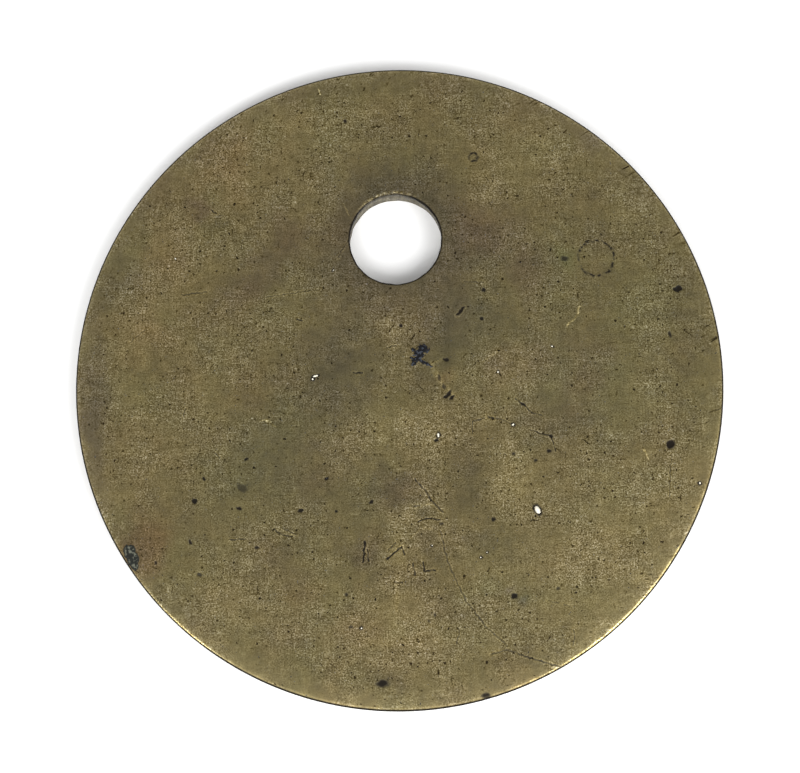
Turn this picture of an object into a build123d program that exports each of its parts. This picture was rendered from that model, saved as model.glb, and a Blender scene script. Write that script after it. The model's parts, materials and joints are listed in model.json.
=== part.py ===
from build123d import *

import os
from math import cos, isclose, radians, sin

# Brass transit token: one blanked disc with a hanging hole punched near its edge.
# The disc lies flat on the XY plane with its worn, blank face up. The origin is the centre of the
# underside, +Z is the way the face looks, and the hole is on +Y. All lengths are in millimetres.

# Driving dimensions
DISC_DIAMETER = 38.0
DISC_THICKNESS = 2.0
HOLE_DIAMETER = 5.4
HOLE_CENTRE_Y = 8.6

# Edges: the blanking punch pulls the face down towards the rim, and handling rounds what is left
ROLL_OVER_WIDTH = 1.7
ROLL_OVER_ANGLE = 10.0
FACE_RIM_ROUNDING = 0.22
UNDERSIDE_RIM_ROUNDING = 0.3
HOLE_FACE_ROUNDING = 0.12
HOLE_UNDERSIDE_ROUNDING = 0.1

DISC_RADIUS = DISC_DIAMETER / 2
HOLE_RADIUS = HOLE_DIAMETER / 2


def half_section():
    """Half of the disc's section on the XZ plane, from its axis out to the rim."""
    slope = radians(ROLL_OVER_ANGLE)
    flat_radius = DISC_RADIUS - ROLL_OVER_WIDTH
    # The roll-over is one large arc, level where the flat face ends, that runs into the rim's small arc
    shoulder_x = DISC_RADIUS - FACE_RIM_ROUNDING * (1 - sin(slope))
    roll_over_radius = (shoulder_x - flat_radius) / sin(slope)
    shoulder_z = DISC_THICKNESS - roll_over_radius * (1 - cos(slope))
    wall_top_z = shoulder_z - FACE_RIM_ROUNDING * cos(slope)

    with BuildSketch(Plane.XZ) as section:
        with BuildLine():
            Line((0, 0), (DISC_RADIUS - UNDERSIDE_RIM_ROUNDING, 0))
            underside_arc = JernArc(
                start=(DISC_RADIUS - UNDERSIDE_RIM_ROUNDING, 0),
                tangent=(1, 0),
                radius=UNDERSIDE_RIM_ROUNDING,
                arc_size=90,
            )
            wall = Line(underside_arc @ 1, (DISC_RADIUS, wall_top_z))
            rim_arc = JernArc(
                start=wall @ 1,
                tangent=(0, 1),
                radius=FACE_RIM_ROUNDING,
                arc_size=90 - ROLL_OVER_ANGLE,
            )
            roll_over = JernArc(
                start=rim_arc @ 1,
                tangent=rim_arc % 1,
                radius=roll_over_radius,
                arc_size=ROLL_OVER_ANGLE,
            )
            Line(roll_over @ 1, (0, DISC_THICKNESS))
            Line((0, DISC_THICKNESS), (0, 0))
        make_face()
    return section.sketch


def hole_edge(part, height):
    """The circle where the hole's wall meets the face at a height."""
    return [
        edge
        for edge in part.edges().filter_by(GeomType.CIRCLE)
        if isclose(edge.radius, HOLE_RADIUS) and isclose(edge.center().Z, height, abs_tol=1e-6)
    ]


def token_disc():
    """The whole token: the turned section with its hole punched through."""
    with BuildPart() as disc:
        revolve(half_section(), axis=Axis.Z)
        with Locations((0, HOLE_CENTRE_Y, 0)):
            Cylinder(
                HOLE_RADIUS,
                DISC_THICKNESS,
                align=(Align.CENTER, Align.CENTER, Align.MIN),
                mode=Mode.SUBTRACT,
            )
        fillet(hole_edge(disc, DISC_THICKNESS), HOLE_FACE_ROUNDING)
        fillet(hole_edge(disc, 0), HOLE_UNDERSIDE_ROUNDING)
    disc.part.label = "token_disc"
    return disc.part


os.makedirs("parts", exist_ok=True)
export_step(token_disc(), "parts/token_disc.step")
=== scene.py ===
import json
from math import cos, pi, radians, sin

import bpy
import numpy as np
from bpy.props import FloatProperty, FloatVectorProperty, IntProperty, PointerProperty
from mathutils import Matrix, Vector, noise


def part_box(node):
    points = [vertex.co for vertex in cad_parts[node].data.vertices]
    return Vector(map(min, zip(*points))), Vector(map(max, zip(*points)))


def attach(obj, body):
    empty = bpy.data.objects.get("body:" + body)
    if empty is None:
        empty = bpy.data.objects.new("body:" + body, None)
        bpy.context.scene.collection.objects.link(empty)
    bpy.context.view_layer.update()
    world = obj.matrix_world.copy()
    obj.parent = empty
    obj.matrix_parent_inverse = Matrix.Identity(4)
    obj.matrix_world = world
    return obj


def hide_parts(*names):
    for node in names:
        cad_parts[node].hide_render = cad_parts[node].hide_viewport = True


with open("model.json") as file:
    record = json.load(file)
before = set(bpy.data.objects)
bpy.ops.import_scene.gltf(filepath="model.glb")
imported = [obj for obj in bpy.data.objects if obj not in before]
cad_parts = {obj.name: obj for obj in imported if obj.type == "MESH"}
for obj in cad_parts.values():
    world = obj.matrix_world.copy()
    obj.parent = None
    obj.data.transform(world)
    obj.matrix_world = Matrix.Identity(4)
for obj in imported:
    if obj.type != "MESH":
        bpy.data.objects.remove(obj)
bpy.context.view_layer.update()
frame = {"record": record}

bl_info = {
    "name": "Worn Transit Token",
    "version": (1, 0, 0),
    "blender": (4, 5, 0),
    "location": "3D View > Sidebar > Token",
    "description": "A worn, patinated brass token with a hanging hole, on a plain studio floor",
    "category": "Object",
}

MM = 0.001
DISC_LOW, DISC_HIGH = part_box("token_disc")
DISC_RADIUS = DISC_HIGH[0]
FACE_Z = DISC_HIGH[2]
HANGING_HOLE = next(m for m in frame["record"]["mounts"] if m["name"] == "hanging_hole")
HOLE_Y = HANGING_HOLE["pos_m"][1]
HOLE_RADIUS = HANGING_HOLE["dims"]["r_mm"] * MM
SAME_HEIGHT = 1e-6


# ---------------------------------------------------------------- sizes and colours

def length(name, description, default):
    """A length property, in metres."""
    return FloatProperty(
        name=name, description=description, default=default, min=0.0, precision=5, unit="LENGTH"
    )


def colour(name, description, default):
    """A colour property, linear."""
    return FloatVectorProperty(
        name=name, description=description, default=default, min=0.0, max=1.0, size=3, subtype="COLOR"
    )


class TokenSizes(bpy.types.PropertyGroup):
    """The edges that the frame doesn't give."""

    roll_over_width: length("Roll-over width", "How far in from the rim the face begins to fall", 1.7 * MM)
    roll_over_angle: FloatProperty(
        name="Roll-over angle",
        description="How steeply the face falls where it meets the rim",
        default=radians(10),
        subtype="ANGLE",
    )
    rim_rounding: length("Rim rounding", "Radius between the face and the rim's wall", 0.22 * MM)
    underside_rounding: length("Underside rounding", "Radius between the wall and the underside", 0.3 * MM)
    mouth_rounding: length("Hole rounding", "Radius at the hole's mouth on the face", 0.12 * MM)
    foot_rounding: length("Hole foot rounding", "Radius at the hole's edge on the underside", 0.1 * MM)
    hole_flare: length("Hole flare", "How much wider the punched hole leaves the underside", 0.07 * MM)
    segments: IntProperty(
        name="Segments", description="Vertices round each ring of the disc", default=512, min=64, max=1024
    )
    face_rings: IntProperty(
        name="Face rings", description="Cuts between hole and rim on the face", default=96, min=8, max=200
    )
    underside_rings: IntProperty(
        name="Underside rings", description="Cuts between hole and rim below", default=20, min=8, max=200
    )


class PatinaColours(bpy.types.PropertyGroup):
    """The brass from its darkest grime to where it's rubbed bright."""

    # Grime is also the colour of the painted shade along the rim's edge and round the hole's mouth
    grime: colour("Grime", "Black dirt in the pores", (0.007, 0.005, 0.002))
    dark: colour("Dark patina", "Dull olive-brown tarnish", (0.0545, 0.0445, 0.0180))
    middle: colour("Patina", "The usual olive-brown of the face", (0.0880, 0.0704, 0.0298))
    light: colour("Thin patina", "Where handling has thinned the tarnish", (0.144, 0.117, 0.0555))
    # Rubbed brass is also the colour of the painted highlights on the rim and at the hole's mouth
    rubbed: colour("Rubbed brass", "Bare brass on edges and flecks", (0.420, 0.350, 0.195))
    tar: colour("Tar", "Blue-black deposit", (0.003, 0.003, 0.004))
    # Painted sheen: the tar's blue-grey highlights are painted in as noisy specks of this colour
    tar_sheen: colour("Tar sheen", "The tar where it's scuffed", (0.026, 0.030, 0.038))
    slag: colour("Slag", "Grey-green crust at the rim", (0.010, 0.011, 0.009))
    slag_pale: colour("Pale slag", "The crust where it's worn", (0.085, 0.088, 0.066))
    grit: colour("Grit", "Pale crumbs stuck to the face", (0.60, 0.57, 0.47))


class StageSettings(bpy.types.PropertyGroup):
    """Floor, lights and camera."""

    floor_size: length("Floor size", "Side of the square floor", 3.0)
    camera_place: FloatVectorProperty(
        name="Camera place",
        description="Where the camera stands",
        default=(3.01 * MM, -16.82 * MM, 120.15 * MM),
        subtype="TRANSLATION",
    )
    camera_aim: FloatVectorProperty(
        name="Camera aim",
        description="The point in the middle of the picture",
        default=(0.096 * MM, -0.176 * MM, 1.8 * MM),
        subtype="TRANSLATION",
    )
    camera_roll: FloatProperty(
        name="Camera roll", description="Turn of the camera about its line of sight", default=radians(1.13),
        subtype="ANGLE",
    )
    lens: FloatProperty(name="Lens", description="Focal length in millimetres", default=91.8, min=1.0)
    right_light: FloatProperty(name="Right light", description="Power of the right softbox, W", default=1.75)
    front_light: FloatProperty(name="Front light", description="Power of the front softbox, W", default=1.1)
    left_light: FloatProperty(name="Left light", description="Power of the left strip, W", default=0.25)
    sky: FloatProperty(name="Sky", description="Brightness of the room above", default=0.98)


# ---------------------------------------------------------------- wear on the face, and painted highlights and shade at its edges
# Places are (x, y) in millimetres on the face, from the disc's centre. Tones are in steps of
# lightness, TONE_STEPS of them from black grime to bare brass; minus is darker.

TONE_STEPS = 140
TARNISH_STRENGTH = 0.86
SCRATCH_STRENGTH = 1.35
# Painted highlight on the raised lips beside dug scratches
LIP_HIGHLIGHT_TONE = 24
LIP_HEIGHT = 0.25
GRIT_RING_TONE = -60
GRIT_RING_MARGIN = 0.03
RING_DEPTH = 0.008
TAR_HEIGHT = 0.03
SLAG_HEIGHT = 0.02

# Blurred areas of thicker (minus) and thinner (plus) tarnish: x, y, half width, half height, turn, tone
TARNISH = (
    (4.0, 4.0, 2.2, 2.2, 0, -20),
    (2.2, 2.8, 1.5, 1.5, 0, -13),
    (1.8, 0.4, 1.2, 1.5, 0, -17),
    (-3.4, 1.2, 2.1, 3.4, 0, -21),
    (4.0, -5.3, 1.2, 2.5, 8, -21),
    (-0.2, -6.1, 1.6, 1.0, 0, -18),
    (-4.7, -6.3, 2.0, 1.2, 0, -13),
    (-6.4, -9.5, 0.9, 1.5, 0, -15),
    (-1.7, -10.1, 0.8, 1.4, 0, -15),
    (1.9, -10.1, 0.9, 1.7, 0, -13),
    (5.7, -9.4, 1.7, 0.8, 20, -15),
    (2.6, -12.4, 1.5, 1.0, 0, -9),
    (6.8, -12.5, 0.6, 0.4, 0, -14),
    (7.3, -15.9, 1.4, 0.5, -10, -14),
    (-0.8, -17.3, 1.0, 0.6, 0, -12),
    (9.5, -2.7, 3.6, 1.4, 5, -13),
    (10.5, 1.8, 4.4, 3.0, 0, -8),
    (-7.6, -4.0, 2.8, 2.8, 0, -11),
    (-7.2, 1.0, 2.6, 2.6, 0, -5),
    (-8.1, 6.6, 2.3, 1.3, 35, -11),
    (-6.3, 9.0, 1.0, 1.4, 0, -9),
    (-11.5, 10.8, 0.9, 0.5, -40, -10),
    (-17.9, -2.0, 0.8, 3.6, 0, -16),
    (-16.9, 6.5, 0.9, 2.4, -20, -9),
    (-15.6, -9.2, 0.9, 1.4, 0, -14),
    (5.4, 8.7, 1.7, 1.6, 0, -13),
    (7.9, 6.6, 1.5, 1.2, 0, -12),
    (2.4, 13.0, 1.6, 1.1, 20, -9),
    (11.7, 8.4, 1.0, 0.8, 0, -5),
    (16.6, 2.6, 0.9, 3.2, 0, -7),
    (3.4, -13.9, 1.8, 0.9, 0, -6),
    (11.5, -10.5, 6.4, 3.2, 42, 13),
    (-1.5, -14.4, 6.4, 2.4, 5, 9),
    (-10.2, -11.6, 3.2, 2.2, -35, 6),
    (-13.4, -5.0, 2.6, 3.0, 0, 7),
    (-9.6, 13.0, 2.4, 2.2, 40, 13),
    (-13.6, 8.6, 1.8, 2.0, -30, 10),
    (-14.6, 3.2, 2.2, 1.6, 0, 13),
    (-15.3, -1.6, 0.9, 1.6, 0, 9),
    (-5.0, 15.7, 3.4, 1.3, 8, 13),
    (0.8, 16.6, 2.4, 0.9, -4, 8),
    (9.4, 14.0, 2.4, 1.6, -25, 9),
    (13.6, 10.3, 1.2, 2.0, 20, 9),
    (5.8, 12.0, 1.8, 1.4, 0, 5),
    (-0.9, -2.6, 2.3, 1.5, 0, 15),
    (2.4, -3.1, 1.3, 1.2, 0, 11),
    (-0.5, 3.4, 0.6, 0.9, 0, 11),
    (-3.2, 2.2, 0.8, 0.4, 0, 14),
    (-3.0, -0.1, 0.5, 0.5, 0, 9),
    (3.2, 0.2, 0.9, 0.5, 0, 15),
    (2.2, 1.0, 0.4, 0.6, 0, 9),
    (6.8, -6.0, 1.3, 2.3, 0, 19),
    (0.1, -9.7, 0.6, 1.6, 0, 14),
    (-0.4, -12.9, 0.5, 1.0, 0, 8),
    (0.4, -7.6, 1.4, 0.6, 0, 10),
    (-4.2, -11.6, 1.4, 1.4, 0, 7),
    (15.6, -5.6, 1.4, 2.6, 0, 8),
    (6.6, 0.2, 2.0, 1.4, 0, 4),
)

# Tinted areas: x, y, half width, half height, turn, strength
REDDISH = (
    (-14.8, -9.2, 1.5, 1.6, 0, 1.50),
    (2.6, 0.2, 0.5, 0.7, 0, 0.60),
    (-9.6, 13.0, 2.4, 2.2, 40, 0.52),
    (-13.6, 8.6, 1.8, 2.0, -30, 0.45),
    (-14.6, 3.2, 2.2, 1.6, 0, 0.45),
    (-5.4, -12.0, 1.6, 1.2, 0, 0.45),
    (-1.5, -14.8, 4.0, 1.8, 5, 0.30),
    (-8.1, 6.6, 2.3, 1.3, 35, 0.45),
    (-6.3, 9.0, 1.0, 1.4, 0, 0.45),
    (-11.5, 10.8, 0.9, 0.5, -40, 0.45),
    (5.4, 8.7, 1.7, 1.6, 0, 0.52),
    (7.9, 6.6, 1.5, 1.2, 0, 0.45),
    (-0.2, -6.1, 1.6, 1.0, 0, 0.45),
    (-1.7, -10.1, 0.8, 1.4, 0, 0.38),
)
GREENISH = (
    (-6.3, -1.5, 1.4, 1.4, 0, 0.4),
    (-7.6, -4.0, 2.8, 2.8, 0, 0.35),
    (4.2, -12.3, 1.2, 0.8, 0, 0.6),
    (9.95, 7.2, 0.8, 0.5, 0, 1.0),
    (-15.6, -8.2, 0.6, 0.6, 0, 0.6),
    (10.5, 0.0, 4.4, 4.0, 0, 0.4),
    (3.6, 3.6, 2.4, 2.2, 0, 0.3),
    (6.9, -12.6, 0.6, 0.4, 0, 0.8),
    (13.5, 6.0, 2.0, 3.0, 0, 0.2),
)
GREYISH = (
    (3.6, 3.6, 2.4, 2.2, 0, 0.5),
    (-3.4, 1.2, 2.1, 3.4, 0, 0.4),
    (5.4, 8.7, 1.7, 1.6, 0, 0.5),
    (7.9, 6.6, 1.5, 1.2, 0, 0.4),
    (-8.1, 6.6, 2.3, 1.3, 35, 0.5),
    (-6.3, 9.0, 1.2, 1.6, 0, 0.4),
    (-0.2, -6.1, 1.6, 1.0, 0, 0.3),
    (5.84, -12.2, 0.45, 0.3, 30, 1.2),
    (6.9, -12.8, 0.4, 0.3, 0, 1.2),
    (-11.5, 10.8, 0.9, 0.5, -40, 0.6),
    (-17.9, -2.0, 0.8, 3.6, 0, 0.6),
    (-15.7, 7.1, 0.8, 1.0, 0, 0.5),
    (11.7, 14.2, 0.8, 0.5, -40, 0.6),
    (-7.4, -3.8, 2.6, 2.6, 0, 0.3),
    (10.0, 0.0, 3.5, 3.5, 0, 0.3),
)

# Scratches and cuts: points, width, depth, tone (minus is filled with dirt, plus is fresh)
SCRATCHES = (
    (((2.3, -8.7), (2.45, -9.6), (2.65, -10.4), (3.1, -11.6), (3.7, -12.8), (4.8, -14.3), (6.0, -15.4)),
     0.08, 0.010, -36),
    (((0.83, -5.64), (1.42, -6.29), (1.71, -6.82), (2.42, -7.58)), 0.09, 0.012, -46),
    (((0.54, -9.05), (1.24, -8.52), (1.83, -8.56)), 0.08, -0.006, 26),
    (((0.65, -7.25), (1.1, -7.2)), 0.10, 0.010, -40),
    (((1.36, -7.17), (2.0, -7.17)), 0.07, -0.006, 30),
    (((-0.4, -11.6), (0.0, -11.63)), 0.10, 0.010, -44),
    (((5.0, -15.85), (6.0, -15.6), (7.0, -16.0), (9.0, -16.65)), 0.09, 0.010, -38),
    (((1.0, -8.13), (1.45, -7.98), (2.25, -8.03)), 0.075, 0.020, -80),
    (((-2.1, -9.23), (-2.22, -10.4)), 0.09, 0.020, -70),
    (((-1.98, -9.7), (-1.92, -10.4)), 0.08, 0.016, -50),
    (((-0.87, -10.28), (-0.4, -9.9), (0.01, -9.57)), 0.09, 0.022, -85),
    (((-0.81, -9.75), (-0.34, -9.35)), 0.08, 0.014, -44),
    (((0.01, -9.57), (0.17, -10.03)), 0.09, 0.014, -60),
    (((1.24, -10.5), (1.3, -11.0), (1.93, -10.96)), 0.10, 0.018, -75),
    (((0.66, -10.5), (0.75, -11.2)), 0.08, 0.012, -50),
    (((3.25, -14.4), (3.05, -15.2)), 0.07, 0.010, -36),
    (((8.4, -12.85), (9.0, -13.0)), 0.07, 0.010, -40),
    (((9.25, -13.1), (9.65, -13.2)), 0.07, 0.010, -40),
    (((4.28, -3.13), (4.28, -2.34), (4.96, -2.21)), 0.07, 0.010, -44),
    (((5.2, -2.1), (5.5, -2.2)), 0.12, 0.016, -52),
    (((5.4, -2.2), (6.1, -2.3), (6.6, -2.6)), 0.07, 0.010, -42),
    (((7.66, -2.91), (8.2, -3.15), (8.82, -3.33)), 0.08, 0.012, -48),
    (((8.82, -3.33), (9.08, -4.21)), 0.07, 0.008, -36),
    (((6.84, -1.08), (7.27, -1.43), (7.69, -1.88), (8.3, -2.1)), 0.07, 0.010, -46),
    (((-2.6, 0.65), (-2.1, 0.65)), 0.09, 0.012, -46),
    (((-0.75, 2.05), (-0.05, 2.25)), 0.07, 0.010, -44),
    (((3.55, 3.95), (3.95, 4.4)), 0.13, 0.020, -80),
    (((4.0, 5.95), (5.2, 5.85)), 0.07, 0.008, -34),
    (((-12.65, 5.55), (-11.2, 5.7)), 0.07, 0.008, -30),
    (((-7.7, 5.3), (-4.5, 5.7)), 0.07, 0.006, -22),
    (((-15.75, 2.8), (-14.7, 3.6)), 0.07, 0.008, -32),
    (((15.8, -4.5), (15.65, -5.8), (15.55, -7.0)), 0.07, 0.008, -32),
    (((-10.9, 10.6), (-10.6, 10.45)), 0.09, 0.010, -44),
    (((9.75, -14.5), (9.85, -15.0), (9.7, -15.5)), 0.07, 0.006, -28),
    (((-5.9, 3.95), (-5.6, 3.85)), 0.09, 0.010, -44),
    (((-7.4, -8.35), (-6.95, -8.75), (-6.3, -8.85)), 0.08, 0.012, -38),
    (((-7.0, -8.3), (-6.55, -8.5), (-6.1, -8.75)), 0.07, 0.010, -30),
    (((-7.2, -8.3), (-6.7, -8.6), (-6.2, -8.8)), 0.09, -0.008, 18),
    (((-10.0, -8.96), (-9.04, -8.91)), 0.07, 0.010, -50),
    (((-10.75, -3.86), (-10.5, -4.1)), 0.08, 0.010, -44),
    (((-12.6, -1.66), (-12.5, -1.2)), 0.07, 0.008, -40),
    (((-3.4, 7.6), (-2.7, 8.8)), 0.07, 0.008, -28),
    (((10.75, 4.3), (10.6, 3.8), (10.3, 3.45), (9.95, 3.15)), 0.09, -0.010, 60),
    (((14.2, -4.2), (14.45, -4.8)), 0.09, -0.010, 60),
    (((-3.0, 10.8), (-2.75, 10.1)), 0.07, -0.006, 36),
    (((-8.1, -2.05), (-7.75, -1.95), (-7.4, -2.3), (-7.2, -2.4)), 0.10, -0.008, 36),
    (((-7.75, -1.95), (-7.65, -2.25)), 0.08, -0.006, 32),
    (((5.05, 1.18), (5.94, 1.85)), 0.10, -0.006, 26),
    (((1.95, 1.1), (2.35, 0.3), (2.7, -0.25), (3.2, -0.75)), 0.32, -0.012, 24),
    (((2.0, 1.15), (2.75, 1.4)), 0.14, -0.010, 18),
    (((-0.3, -11.4), (-0.35, -13.2)), 0.25, -0.004, 16),
    (((-4.45, 17.9), (-4.3, 17.55)), 0.09, -0.008, 60),
)

# Pits and grains: x, y, half width, half height, turn, depth (minus stands up), tone
PITS = (
    (-2.85, 15.85, 0.09, 0.12, 20, 0.03, -65),
    (16.5, 5.2, 0.20, 0.13, 10, 0.04, -95),
    (15.75, -3.95, 0.22, 0.19, 30, 0.05, -90),
    (15.95, 2.5, 0.09, 0.16, 0, 0.02, -50),
    (6.45, -12.55, 0.17, 0.12, 30, 0.03, -75),
    (9.0, -12.15, 0.09, 0.09, 0, 0.02, -55),
    (5.35, -8.1, 0.10, 0.09, 0, 0.02, -60),
    (4.7, -18.2, 0.20, 0.15, 0, 0.03, -70),
    (-3.2, -12.25, 0.08, 0.10, 0, 0.02, -55),
    (-3.0, -14.1, 0.08, 0.09, 0, 0.02, -50),
    (-1.25, -17.4, 0.30, 0.17, 0, 0.02, -55),
    (2.81, 1.33, 0.12, 0.08, 0, 0.02, -60),
    (2.39, 0.26, 0.08, 0.16, 20, 0.02, -60),
    (2.67, -0.24, 0.08, 0.14, 30, 0.02, -55),
    (2.95, -0.66, 0.09, 0.18, -30, 0.03, -95),
    (3.12, -0.92, 0.16, 0.08, 40, 0.03, -95),
    (2.76, -0.88, 0.12, 0.07, 0, 0.03, -85),
    (2.16, -3.42, 0.12, 0.09, 0, 0.02, -90),
    (9.95, 7.2, 0.19, 0.14, 0, 0.02, -50),
    (1.5, -13.85, 0.08, 0.08, 0, 0.02, -44),
    (1.85, -13.55, 0.08, 0.08, 0, 0.02, -44),
    (7.27, -1.43, 0.11, 0.08, -40, 0.02, -60),
    (8.82, -3.33, 0.12, 0.08, 0, 0.02, -80),
    (-12.0, -6.67, 0.13, 0.12, 0, 0.03, -95),
    (-11.4, -5.36, 0.12, 0.07, -50, 0.02, -75),
    (-9.21, -5.95, 0.30, 0.18, -30, 0.02, -34),
    (-9.42, -7.16, 0.13, 0.08, -30, 0.02, -75),
    (-8.95, -4.29, 0.12, 0.07, 0, 0.02, -60),
    (-4.29, -5.52, 0.11, 0.09, 0, 0.02, -70),
    (-5.82, -7.34, 0.14, 0.08, 20, 0.02, -75),
    (-3.74, -7.43, 0.09, 0.08, 0, 0.02, -70),
    (-8.37, -9.46, 0.09, 0.08, 0, 0.02, -60),
    (-12.25, -9.04, 0.12, 0.08, -30, 0.02, -60),
    (-14.29, -10.2, 0.08, 0.09, 0, 0.02, -60),
    (-11.73, -10.93, 0.11, 0.09, 0, 0.02, -55),
    (0.21, 3.38, 0.09, 0.09, 0, 0.02, -80),
    (5.14, 5.41, 0.11, 0.08, 0, 0.02, -75),
    (4.97, 3.68, 0.10, 0.09, 0, 0.02, -75),
    (6.6, -4.3, 0.09, 0.08, 0, 0.02, -60),
    (7.9, -4.7, 0.09, 0.09, 0, 0.02, -60),
    (8.7, -4.2, 0.10, 0.08, 0, 0.02, -60),
    (-1.7, -6.94, 0.12, 0.08, 20, 0.02, -60),
    (2.36, -8.27, 0.08, 0.08, 0, 0.02, -50),
    (1.5, -7.6, 0.55, 0.30, 0, 0.01, -12),
)

# Pale crumbs stuck to the face, each in a darker ring: x, y, half width, half length, turn
GRIT = (
    (7.92, -7.60, 0.15, 0.25, 25),
    (2.27, -3.12, 0.07, 0.12, 0),
    (6.64, -2.60, 0.08, 0.06, 30),
    (5.85, 0.52, 0.04, 0.06, 0),
    (-4.84, 0.53, 0.15, 0.06, 15),
    (-5.0, 0.35, 0.05, 0.05, 0),
    (-3.69, 6.83, 0.04, 0.04, 0),
    (9.05, 1.97, 0.05, 0.04, 0),
    (17.35, -6.25, 0.05, 0.07, 0),
    (-2.40, -14.2, 0.05, 0.04, 0),
    (-13.05, 7.75, 0.04, 0.04, 0),
    (4.94, -9.99, 0.04, 0.04, 0),
    (4.57, -10.27, 0.04, 0.04, 0),
    (1.77, -9.53, 0.03, 0.03, 0),
)

# Rings left by something round: x, y, radius, line width, tone
RING_MARKS = (
    (11.8, 7.15, 1.05, 0.14, -72),
    (4.75, 13.45, 0.24, 0.13, -85),
    (-10.3, 9.95, 0.35, 0.08, -26),
)

# Lobes of the tar drop near the middle and of the slag at the rim: x, y, half width, half height, turn
TAR_LOBES = (
    (1.52, 2.02, 0.36, 0.22, -35),
    (1.22, 1.70, 0.28, 0.30, 20),
    (0.92, 1.22, 0.15, 0.24, -20),
    (1.12, 1.35, 0.20, 0.16, 0),
    (1.42, 1.22, 0.26, 0.10, -30),
    (1.80, 1.02, 0.24, 0.09, -35),
    (0.95, 1.95, 0.14, 0.10, 0),
    (0.80, 1.50, 0.12, 0.07, 0),
)
SLAG_LOBES = (
    (-15.78, -9.55, 0.36, 0.44, 10),
    (-15.60, -9.95, 0.34, 0.46, 0),
    (-15.50, -10.35, 0.22, 0.28, 20),
)


# ---------------------------------------------------------------- modelling helpers

def deselect_all():
    if bpy.context.mode != "OBJECT":
        bpy.ops.object.mode_set(mode="OBJECT")
    bpy.ops.object.select_all(action="DESELECT")


def extrude_ring(centre, old_radius, new_radius, step_z):
    """Extrudes the selected ring of edges by one step of a turned profile."""
    bpy.ops.mesh.extrude_edges_move(TRANSFORM_OT_translate={"value": (0, 0, step_z)})
    scale = new_radius / old_radius
    bpy.ops.transform.resize(value=(scale, scale, 1), center_override=centre)


def extrude_profile(centre, profile):
    """Extrudes the selected ring through the (radius, z) points of a profile, from its first point."""
    for (old_radius, old_z), (new_radius, new_z) in zip(profile, profile[1:]):
        extrude_ring(centre, old_radius, new_radius, new_z - old_z)


def arc(centre, radius, start, end, steps):
    """(radius, z) points of an arc after its start, angles in radians from the outward direction."""
    angles = [start + (end - start) * (i + 1) / steps for i in range(steps)]
    return [(centre[0] + radius * cos(a), centre[1] + radius * sin(a)) for a in angles]


def rim_profile(sizes):
    """From the edge of the flat face over the rim and down to the underside."""
    slope = sizes.roll_over_angle
    flat_radius = DISC_RADIUS - sizes.roll_over_width
    shoulder = DISC_RADIUS - sizes.rim_rounding * (1 - sin(slope))
    roll_radius = (shoulder - flat_radius) / sin(slope)
    shoulder_z = FACE_Z - roll_radius * (1 - cos(slope))
    rim_centre = (DISC_RADIUS - sizes.rim_rounding, shoulder_z - sizes.rim_rounding * cos(slope))
    foot = sizes.underside_rounding
    points = [(flat_radius, FACE_Z)]
    points += arc((flat_radius, FACE_Z - roll_radius), roll_radius, pi / 2, pi / 2 - slope, 8)
    points += arc(rim_centre, sizes.rim_rounding, pi / 2 - slope, 0, 8)
    wall_top, wall_foot = rim_centre[1], foot
    points += [(DISC_RADIUS, wall_top + (wall_foot - wall_top) * i / 5) for i in range(1, 6)]
    points += arc((DISC_RADIUS - foot, foot), foot, 0, -pi / 2, 5)
    return points


def hole_profile(sizes):
    """From the hole's mouth on the face down its wall to the underside."""
    mouth = sizes.mouth_rounding
    foot_radius = HOLE_RADIUS + sizes.hole_flare
    foot = sizes.foot_rounding
    points = [(HOLE_RADIUS + mouth, FACE_Z)]
    points += arc((HOLE_RADIUS + mouth, FACE_Z - mouth), mouth, pi / 2, pi, 4)
    top, steps = FACE_Z - mouth, 8
    points += [
        (HOLE_RADIUS + sizes.hole_flare * i / steps, top + (foot - top) * i / steps)
        for i in range(1, steps + 1)
    ]
    points += arc((foot_radius + foot, foot), foot, pi, 1.5 * pi, 3)
    return points


def turned_blank(sizes):
    """The disc with its hole, as one closed mesh of rings."""
    deselect_all()
    rim = rim_profile(sizes)
    hole = hole_profile(sizes)
    # The hole is made high above the disc, so that its two open rings pair up straight with the disc's
    lift = 2 * DISC_RADIUS

    bpy.ops.mesh.primitive_circle_add(vertices=sizes.segments, radius=rim[0][0], location=(0, 0, FACE_Z))
    disc = bpy.context.object
    bpy.ops.object.mode_set(mode="EDIT")
    bpy.ops.mesh.select_mode(type="EDGE")
    bpy.ops.mesh.select_all(action="SELECT")
    extrude_profile((0, 0, 0), rim)

    bpy.ops.mesh.select_all(action="DESELECT")
    bpy.ops.mesh.primitive_circle_add(
        vertices=sizes.segments, radius=hole[0][0], location=(0, HOLE_Y, FACE_Z + lift)
    )
    extrude_profile((0, HOLE_Y, 0), hole)

    for height, cuts in ((0, sizes.underside_rings), (FACE_Z, sizes.face_rings)):
        levels = (height, height + lift)
        select_in_edit_mode("edges", lambda place: min(abs(place.z - z) for z in levels) < SAME_HEIGHT)
        bpy.ops.mesh.bridge_edge_loops(number_cuts=cuts, interpolation="LINEAR")
        bpy.ops.transform.resize(value=(1, 1, 0), center_override=(0, 0, height))
    select_in_edit_mode("vertices", lambda place: place.z > lift / 2)
    bpy.ops.transform.translate(value=(0, 0, -lift))

    bpy.ops.mesh.select_all(action="SELECT")
    bpy.ops.mesh.normals_make_consistent(inside=False)
    bpy.ops.object.mode_set(mode="OBJECT")
    bpy.ops.object.transform_apply(location=True, rotation=False, scale=False)
    bpy.ops.object.shade_smooth()
    return disc


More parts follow.
